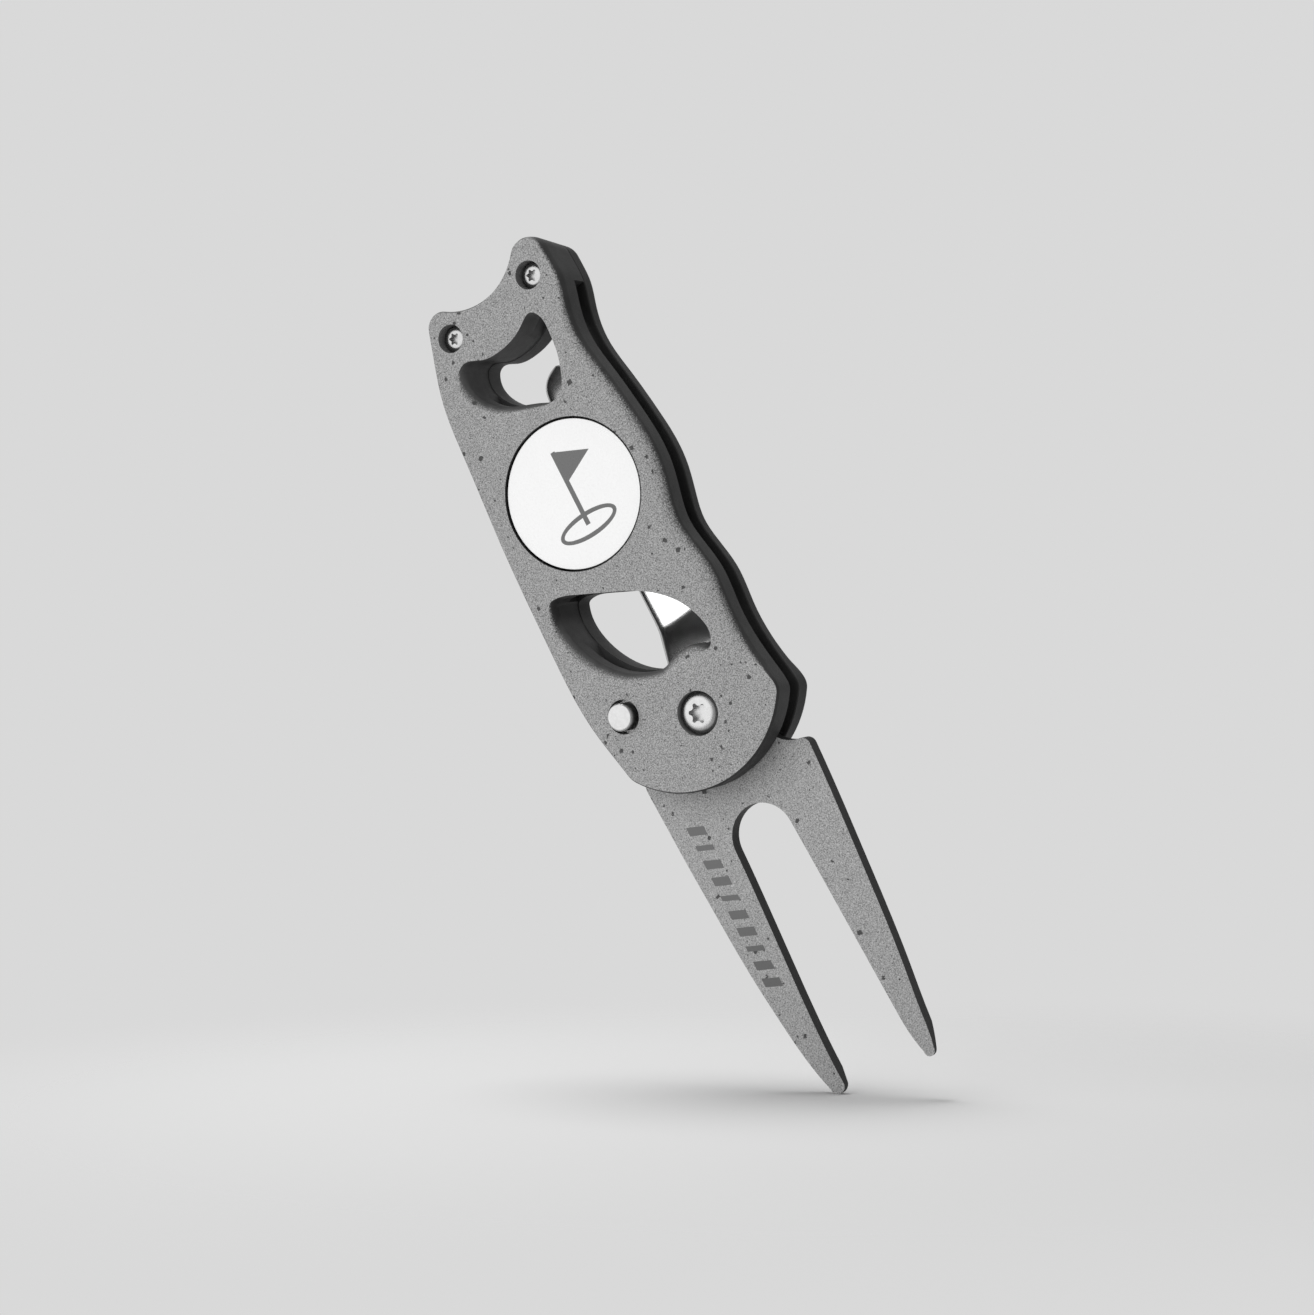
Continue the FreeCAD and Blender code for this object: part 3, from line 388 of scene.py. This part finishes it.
LOOKS = {
    "front_cover": paint_front, "rear_cover": paint_rear, "fork": paint_fork,
    "pivot_barrel": steel, "pivot_screw": pivot_steel, "pivot_screw_rear": pivot_steel,
    "washer_front": washer_bronze, "washer_rear": washer_bronze, "torsion_spring": spring_wire,
    "stop_pin": steel, "lock_button": button_steel, "button_spring": spring_wire,
    "ball_marker": marker_plate, "marker_face": white, "marker_emblem": dark,
    "marker_magnet": magnet_plate, "head_screws": screw_steel, "clip_base": chrome,
    "clip_tongue": chrome, "clip_screws": screw_steel,
}
for node, look in LOOKS.items():
    dress(nodes[node], look)


# ---------------------------------------------------------------- smoothed metal bodies

WELD = 0.002 * MM
FLAT_ANGLE = math.radians(0.5)
SHARP_ANGLE = math.radians(32)
ROUNDED_ANGLE = math.radians(50)
FORK_ROUNDING = 0.15 * MM


def plain_shading(mesh, sharp_angle):
    """Smooth shading from the mesh's own faces, broken at its sharp edges."""
    if "custom_normal" in mesh.attributes:
        mesh.attributes.remove(mesh.attributes["custom_normal"])
    mesh.shade_smooth()
    mesh.set_sharp_from_angle(angle=sharp_angle)


def smoothed(node, name, bevel=0.0):
    """A welded copy of a CAD node that shades its rounded edges smoothly and stands for it."""
    body = nodes[node].parent.name.split(":")[1]
    mesh = nodes[node].data.copy()
    mesh.name = name
    shape = bmesh.new()
    shape.from_mesh(mesh)
    bmesh.ops.remove_doubles(shape, verts=shape.verts, dist=WELD)
    if bevel:
        bmesh.ops.dissolve_limit(shape, angle_limit=FLAT_ANGLE, verts=shape.verts, edges=shape.edges)
    shape.to_mesh(mesh)
    shape.free()
    plain_shading(mesh, SHARP_ANGLE)
    made = bpy.data.objects.new(name, mesh)
    scene.collection.objects.link(made)
    if bevel:
        rounding = made.modifiers.new("rounding", "BEVEL")
        rounding.width = bevel
        rounding.segments = 2
        rounding.limit_method = "ANGLE"
        rounding.angle_limit = ROUNDED_ANGLE
    made.modifiers.new("shading", "WEIGHTED_NORMAL").keep_sharp = True
    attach(made, body)
    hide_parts(node)
    dress(made, LOOKS[node])
    return made


smoothed("front_cover", "front_shell")
smoothed("rear_cover", "rear_shell")
smoothed("fork", "fork_blade", bevel=FORK_ROUNDING)


# ---------------------------------------------------------------- springs

FRONT_WALL = 3.9 * MM
SPRING_CUT_Z = FACE_Z - FRONT_WALL + 0.015 * MM
SPRING_WELD = 0.001 * MM
SPRING_SHARP_ANGLE = math.radians(40)


def spring_share(node, name, cut_z=None, above=True):
    """A copy of a CAD spring, or of its share on one side of a level cut."""
    mesh = nodes[node].data.copy()
    mesh.name = name
    shape = bmesh.new()
    shape.from_mesh(mesh)
    bmesh.ops.remove_doubles(shape, verts=shape.verts, dist=SPRING_WELD)
    if cut_z is not None:
        everything = shape.verts[:] + shape.edges[:] + shape.faces[:]
        cut = bmesh.ops.bisect_plane(shape, geom=everything, plane_co=(0, 0, cut_z), plane_no=(0, 0, 1),
                                     clear_inner=above, clear_outer=not above)
        rim = [item for item in cut["geom_cut"] if isinstance(item, bmesh.types.BMEdge)]
        bmesh.ops.holes_fill(shape, edges=rim)
    shape.to_mesh(mesh)
    shape.free()
    plain_shading(mesh, SPRING_SHARP_ANGLE)
    made = bpy.data.objects.new(name, mesh)
    scene.collection.objects.link(made)
    dress(made, spring_wire)
    return made


def springs():
    """The opening spring's coil keeps still and its leg turns; the button's spring is a plain copy that
    stays with the handle.
    """
    coil = spring_share("torsion_spring", "opening_coil", SPRING_CUT_Z, above=True)
    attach(coil, "handle")
    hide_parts("torsion_spring")
    leg = spring_share("torsion_spring", "opening_spring_leg", SPRING_CUT_Z, above=False)
    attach(leg, "fork")
    press = spring_share("button_spring", "press_spring")
    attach(press, "handle")
    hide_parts("button_spring")
    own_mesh(press)


springs()


# ---------------------------------------------------------------- pocket clip

BASE_LOW, BASE_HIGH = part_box("clip_base")
TONGUE_LOW, TONGUE_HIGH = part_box("clip_tongue")
CLIP_THICK = 0.85 * MM
CLIP_MIDDLE_Y = (TONGUE_LOW.y + TONGUE_HIGH.y) / 2
HINGE_X = BASE_LOW.x
KINK_X = HINGE_X - 6.4 * MM
KINK_GAP = 2.75 * MM
TOUCH_X = HINGE_X - 32.4 * MM
TOUCH_GAP = 0.2 * MM
TIP_END_X = TONGUE_LOW.x
TIP_GAP = 1.75 * MM
TIP_RADIUS = 3.1 * MM
STRAP_HALF = (TONGUE_HIGH.y - TONGUE_LOW.y) / 2
FOOT_CENTRE = Vector((BASE_HIGH.x - 5.4 * MM, (BASE_LOW.y + BASE_HIGH.y) / 2, 0.0))
FOOT_RADIUS = 5.4 * MM
CROWN_WIDTH = 1.3 * MM
CROWN_DROP = 0.40 * MM
CROWN_SHARES = [0.0, 0.35, 0.65, 0.85, 1.0]
FLARE_POWER = 1.7
BEND_REACH = 0.8 * MM
BEND_SAMPLES = 9
CLIP_LIFT = 0.01 * MM
SMALLEST_HALF = 0.02 * MM
END_STEPS = 12
STRAP_STEPS = 60
PIVOT_HOLE = 3.25 * MM
SCREW_HOLE = 1.12 * MM
CLIP_SHARP_ANGLE = math.radians(50)
CUTTER_SEGMENTS = 64
CUTTER_BELOW = 4 * MM
CUTTER_ABOVE = 2 * MM


def clip_gap(x):
    """How far the clip's cover side stands off the rear face at x."""
    if x >= HINGE_X:
        return 0.0
    if x >= KINK_X:
        return KINK_GAP * (HINGE_X - x) / (HINGE_X - KINK_X)
    if x >= TOUCH_X:
        return KINK_GAP + (TOUCH_GAP - KINK_GAP) * (KINK_X - x) / (KINK_X - TOUCH_X)
    share = (TOUCH_X - x) / (TOUCH_X - TIP_END_X)
    return TOUCH_GAP + (TIP_GAP - TOUCH_GAP) * share ** FLARE_POWER


def smoothed_gap(x):
    """The same with its bends rounded over a reach each side."""
    shifts = [2 * index / (BEND_SAMPLES - 1) - 1 for index in range(BEND_SAMPLES)]
    return sum(clip_gap(x + BEND_REACH * shift) for shift in shifts) / BEND_SAMPLES


def clip_half(x):
    """Half the clip's width and its middle at x."""
    tip_centre = TIP_END_X + TIP_RADIUS
    if x < tip_centre:
        return math.sqrt(max(TIP_RADIUS ** 2 - (tip_centre - x) ** 2, 0.0)), CLIP_MIDDLE_Y
    if x < KINK_X:
        share = (x - tip_centre) / (KINK_X - tip_centre)
        return TIP_RADIUS + (STRAP_HALF - TIP_RADIUS) * share, CLIP_MIDDLE_Y
    foot_start = FOOT_CENTRE.x - 0.1 * FOOT_RADIUS
    if x < foot_start:
        share = (x - KINK_X) / (foot_start - KINK_X)
        middle = CLIP_MIDDLE_Y + (FOOT_CENTRE.y - CLIP_MIDDLE_Y) * share
        return STRAP_HALF + (FOOT_RADIUS * 0.995 - STRAP_HALF) * share, middle
    return math.sqrt(max(FOOT_RADIUS ** 2 - (x - FOOT_CENTRE.x) ** 2, 0.0)), FOOT_CENTRE.y


def clip_stations():
    """X places along the strip, close together at its round ends and bends."""
    places = []
    for step in range(END_STEPS + 1):
        places.append(TIP_END_X + TIP_RADIUS * (1 - math.cos(math.pi / 2 * step / END_STEPS)))
    start = TIP_END_X + TIP_RADIUS
    end = FOOT_CENTRE.x
    for step in range(1, STRAP_STEPS):
        places.append(start + (end - start) * step / STRAP_STEPS)
    for step in range(END_STEPS + 1):
        places.append(end + FOOT_RADIUS * math.sin(math.pi / 2 * step / END_STEPS))
    return sorted(places)


def clip_ring(x):
    """The strip's section at x: crowned faces that roll over into round edges."""
    half, middle = clip_half(x)
    half = max(half, SMALLEST_HALF)
    top = REAR_Z - smoothed_gap(x) - CLIP_LIFT
    roll = min(CROWN_WIDTH, half)
    across = [-half + roll * (1 - share) for share in CROWN_SHARES[::-1]]
    across = across[:-1] + [-half + roll, 0.0, half - roll] + [-y for y in across[::-1]][1:]
    upper = []
    for y in across:
        inside = min((half - abs(y)) / roll, 1.0)
        drop = CROWN_DROP * (1 - math.sqrt(max(1 - (1 - inside) ** 2, 0.0)))
        upper.append((y, drop))
    points = [Vector((x, middle + y, top - drop)) for y, drop in upper]
    points += [Vector((x, middle + y, top - CLIP_THICK + drop)) for y, drop in upper[::-1]]
    return points


def cylinder_cutter(name, centre, radius, low, high):
    """A temporary round cutter."""
    mesh = bpy.data.meshes.new(name)
    shape = bmesh.new()
    place = Matrix.Translation((centre.x, centre.y, (low + high) / 2))
    bmesh.ops.create_cone(shape, cap_ends=True, segments=CUTTER_SEGMENTS, radius1=radius, radius2=radius,
                          depth=high - low, matrix=place)
    shape.to_mesh(mesh)
    shape.free()
    made = bpy.data.objects.new(name, mesh)
    scene.collection.objects.link(made)
    return made


def screw_places():
    """The centres of the separate screws in the clip's foot."""
    shape = bmesh.new()
    shape.from_mesh(nodes["clip_screws"].data)
    bmesh.ops.remove_doubles(shape, verts=shape.verts, dist=WELD)
    waiting = set(shape.verts)
    centres = []
    while waiting:
        group = [waiting.pop()]
        for vertex in group:
            near = {edge.other_vert(vertex) for edge in vertex.link_edges} & waiting
            waiting -= near
            group += near
        low = Vector(min(vertex.co[axis] for vertex in group) for axis in range(3))
        high = Vector(max(vertex.co[axis] for vertex in group) for axis in range(3))
        centres.append((low + high) / 2)
    shape.free()
    return centres


def pocket_clip():
    """The whole bent strip, from its round tip to its screwed foot, as one springy piece."""
    mesh = bpy.data.meshes.new("clip_strip")
    shape = bmesh.new()
    rings = [[shape.verts.new(point) for point in clip_ring(x)] for x in clip_stations()]
    for first, second in zip(rings, rings[1:]):
        count = len(first)
        for index in range(count):
            after = (index + 1) % count
            shape.faces.new((first[index], first[after], second[after], second[index]))
    shape.faces.new(rings[0][::-1])
    shape.faces.new(rings[-1])
    bmesh.ops.recalc_face_normals(shape, faces=shape.faces)
    shape.to_mesh(mesh)
    shape.free()
    made = bpy.data.objects.new("clip_strip", mesh)
    scene.collection.objects.link(made)
    pivot = (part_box("pivot_screw_rear")[0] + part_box("pivot_screw_rear")[1]) / 2
    holes = [(pivot, PIVOT_HOLE)] + [(place, SCREW_HOLE) for place in screw_places()]
    cutters = []
    for number, (place, radius) in enumerate(holes):
        cutter = cylinder_cutter("cutter_%d" % number, place, radius, REAR_Z - CUTTER_BELOW,
                                 REAR_Z + CUTTER_ABOVE)
        cut = made.modifiers.new("cut", "BOOLEAN")
        cut.object = cutter
        cut.operation = "DIFFERENCE"
        cut.solver = "EXACT"
        cutters.append(cutter)
    bpy.context.view_layer.update()
    final = bpy.data.meshes.new_from_object(made.evaluated_get(bpy.context.evaluated_depsgraph_get()))
    made.modifiers.clear()
    made.data = final
    for cutter in cutters:
        bpy.data.objects.remove(cutter)
    final.shade_smooth()
    final.set_sharp_from_angle(angle=CLIP_SHARP_ANGLE)
    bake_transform(made)
    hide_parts("clip_base", "clip_tongue")
    dress(made, chrome)


pocket_clip()


# ---------------------------------------------------------------- printed bars on the back prong

BAR_COUNT = 10
BAR_START = Vector((46.4, -8.05, 0.0)) * MM
BAR_STEP = Vector((2.45, -0.005, 0.0)) * MM
BAR_HALF_WIDTHS = [0.62 * MM, 0.38 * MM, 0.62 * MM]
BAR_HALF_HEIGHT = 1.2 * MM
BAR_LEAN = Vector((0.45, 0.0, 0.0)) * MM
BAR_SINK = Vector((0.0, 0.0, 0.01)) * MM
BAR_RISE = Vector((0.0, 0.0, 0.02)) * MM


def prong_bars():
    """A plain row of slanted bars printed along the back prong."""
    mesh = bpy.data.meshes.new("prong_bars")
    shape = bmesh.new()
    for index in range(BAR_COUNT):
        middle = Vector((MARKER.x, MARKER.y, FORK_HIGH.z)) + BAR_START + index * BAR_STEP
        half = Vector((BAR_HALF_WIDTHS[index % len(BAR_HALF_WIDTHS)], 0.0, 0.0))
        reach = BAR_LEAN + Vector((0.0, BAR_HALF_HEIGHT, 0.0))
        corners = [middle - half - reach, middle + half - reach,
                   middle + half + reach, middle - half + reach]
        low = [shape.verts.new(corner - BAR_SINK) for corner in corners]
        top = [shape.verts.new(corner + BAR_RISE) for corner in corners]
        shape.faces.new(top)
        shape.faces.new(low[::-1])
        for side in range(4):
            after = (side + 1) % 4
            shape.faces.new((low[side], low[after], top[after], top[side]))
    shape.to_mesh(mesh)
    shape.free()
    made = bpy.data.objects.new("prong_bars", mesh)
    scene.collection.objects.link(made)
    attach(made, "fork")
    dress(made, bar_ink)


bar_ink = enamel("bar_ink", 0.085, rough=0.5)
prong_bars()


# ---------------------------------------------------------------- camera

CAMERA_FROM_MARKER = Vector((0.0870, 0.1561, 0.3233))
CAMERA_PLACE = Vector((MARKER.x, MARKER.y, FACE_Z)) + CAMERA_FROM_MARKER
CAMERA_RIGHT = Vector((0.44467, 0.7703, -0.45706))
CAMERA_UP = Vector((-0.87918, 0.47291, -0.05833))
CAMERA_FORWARD = Vector((-0.17122, -0.42777, -0.88752))
LENS = 76.65


def camera():
    """The photograph's viewing angle."""
    data = bpy.data.cameras.new("camera")
    data.lens = LENS
    data.sensor_width = 36.0
    data.clip_start = 0.01
    data.clip_end = 10.0
    made = bpy.data.objects.new("camera", data)
    scene.collection.objects.link(made)
    turn = Matrix((CAMERA_RIGHT, CAMERA_UP, -CAMERA_FORWARD)).transposed()
    made.matrix_world = Matrix.Translation(CAMERA_PLACE) @ turn.to_4x4()
    scene.camera = made


# ---------------------------------------------------------------- light and floor

# The surround's brightness to the camera, and as light on the tool.
SURROUND = 0.694
AMBIENT = 0.5
KEY_PLACE = (-0.2, -0.17, 0.52)
KEY_SIZE = 0.9
KEY_WATTS = 2.9
HEAD_LIGHT_REACH = 0.42
HEAD_LIGHT_SIZE = 0.15
HEAD_LIGHT_WATTS = 1.1


def area_light(name, place, target, size, watts):
    data = bpy.data.lights.new(name, "AREA")
    data.shape = "DISK"
    data.size = size
    data.energy = watts
    made = bpy.data.objects.new(name, data)
    scene.collection.objects.link(made)
    made.location = place
    made.rotation_mode = "QUATERNION"
    made.rotation_quaternion = (Vector(target) - Vector(place)).to_track_quat("-Z", "Y")


def studio():
    """Plain soft light from above and behind the camera, over a pale surround."""
    world = bpy.data.worlds.new("surround")
    scene.world = world
    world.use_nodes = True
    tree = world.node_tree
    tree.nodes.clear()
    output = tree.nodes.new("ShaderNodeOutputWorld")
    seen = tree.nodes.new("ShaderNodeBackground")
    seen.inputs["Color"].default_value = grey3(SURROUND)
    lit = tree.nodes.new("ShaderNodeBackground")
    lit.inputs["Color"].default_value = grey3(AMBIENT)
    path = tree.nodes.new("ShaderNodeLightPath")
    blend = tree.nodes.new("ShaderNodeMixShader")
    tree.links.new(path.outputs["Is Camera Ray"], blend.inputs["Fac"])
    tree.links.new(lit.outputs["Background"], blend.inputs[1])
    tree.links.new(seen.outputs["Background"], blend.inputs[2])
    tree.links.new(blend.outputs[0], output.inputs["Surface"])
    area_light("key", KEY_PLACE, (0.0, 0.0, 0.0), KEY_SIZE, KEY_WATTS)
    area_light("head_light", TIP + HEADWARDS * HEAD_LIGHT_REACH, TIP, HEAD_LIGHT_SIZE, HEAD_LIGHT_WATTS)
    scene.view_settings.view_transform = "Standard"
    scene.view_settings.look = "None"


FLOOR_DIP = math.radians(-1.8)
FLOOR_UP = (CAMERA_UP * math.cos(FLOOR_DIP) - CAMERA_FORWARD * math.sin(FLOOR_DIP)).normalized()
HEADWARDS = (Vector((-1.0, 0.0, 0.0)) + CAMERA_RIGHT * 0.16).normalized()
TIP = min((vertex.co for vertex in nodes["fork"].data.vertices), key=lambda co: co.dot(FLOOR_UP)).copy()
FLOOR_RADIUS = 0.16
FLOOR_TONE = 0.6
FLOOR_FADE_START = 35.0
FLOOR_FADE_END = 150.0


def floor():
    """A pale round floor under the prong tip that fades into the surround and is open from below."""
    mesh = bpy.data.meshes.new("floor")
    shape = bmesh.new()
    bmesh.ops.create_circle(shape, cap_ends=True, radius=FLOOR_RADIUS, segments=96)
    shape.to_mesh(mesh)
    shape.free()
    made = bpy.data.objects.new("floor", mesh)
    scene.collection.objects.link(made)
    made.matrix_world = Matrix.Translation(TIP) @ FLOOR_UP.to_track_quat("Z", "Y").to_matrix().to_4x4()

    shader = Shader("floor")
    tree = shader.tree
    shader.link(shader.grey(shader.math("MULTIPLY_ADD", shader.noise(0.01, 2.0), 0.02, FLOOR_TONE)),
                shader.surface.inputs["Base Color"])
    shader.surface.inputs["Roughness"].default_value = 1.0
    shader.surface.inputs["Specular IOR Level"].default_value = 0.0
    x, y, _ = shader.split(shader.place)
    shown = shader.smooth(shader.length(x, y), FLOOR_FADE_START, FLOOR_FADE_END, 1.0, 0.0)
    side = shader.add("ShaderNodeNewGeometry")
    shown = shader.math("MULTIPLY", shown, shader.math("SUBTRACT", 1.0, side.outputs["Backfacing"]))
    clear = shader.add("ShaderNodeBsdfTransparent")
    blend = shader.add("ShaderNodeMixShader")
    shader.link(shown, blend.inputs["Fac"])
    shader.link(clear.outputs[0], blend.inputs[1])
    shader.link(shader.surface.outputs["BSDF"], blend.inputs[2])
    output = next(node for node in tree.nodes if node.type == "OUTPUT_MATERIAL")
    shader.link(blend.outputs[0], output.inputs["Surface"])
    dress(made, shader.material)


camera()
floor()
studio()
